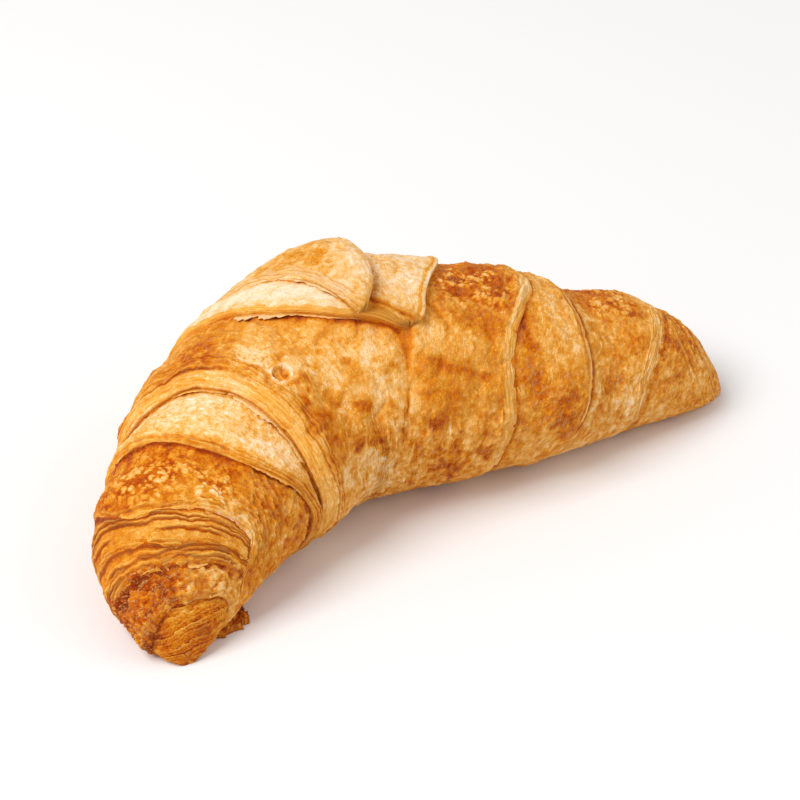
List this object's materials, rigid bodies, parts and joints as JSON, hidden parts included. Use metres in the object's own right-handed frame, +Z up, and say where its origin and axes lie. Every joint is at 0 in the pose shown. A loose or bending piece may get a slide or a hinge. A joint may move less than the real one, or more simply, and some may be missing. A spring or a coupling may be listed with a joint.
{
  "type": "croissant",
  "caption": "Baked butter croissant: a layered crescent roll with stepped turns of dough, a pointed tongue on top and a flat base.",
  "frame": {"origin": "middle of the bounding box, on the table plane under the croissant", "axes": "+X along the line between the two horns, +Y towards the bulging side of the bend, +Z up"},
  "size_m": [0.1724, 0.0786, 0.0576],
  "materials": {
    "crust": "satin"
  },
  "bodies": {
    "root": {"croissant": "crust"}
  },
  "joints": []
}
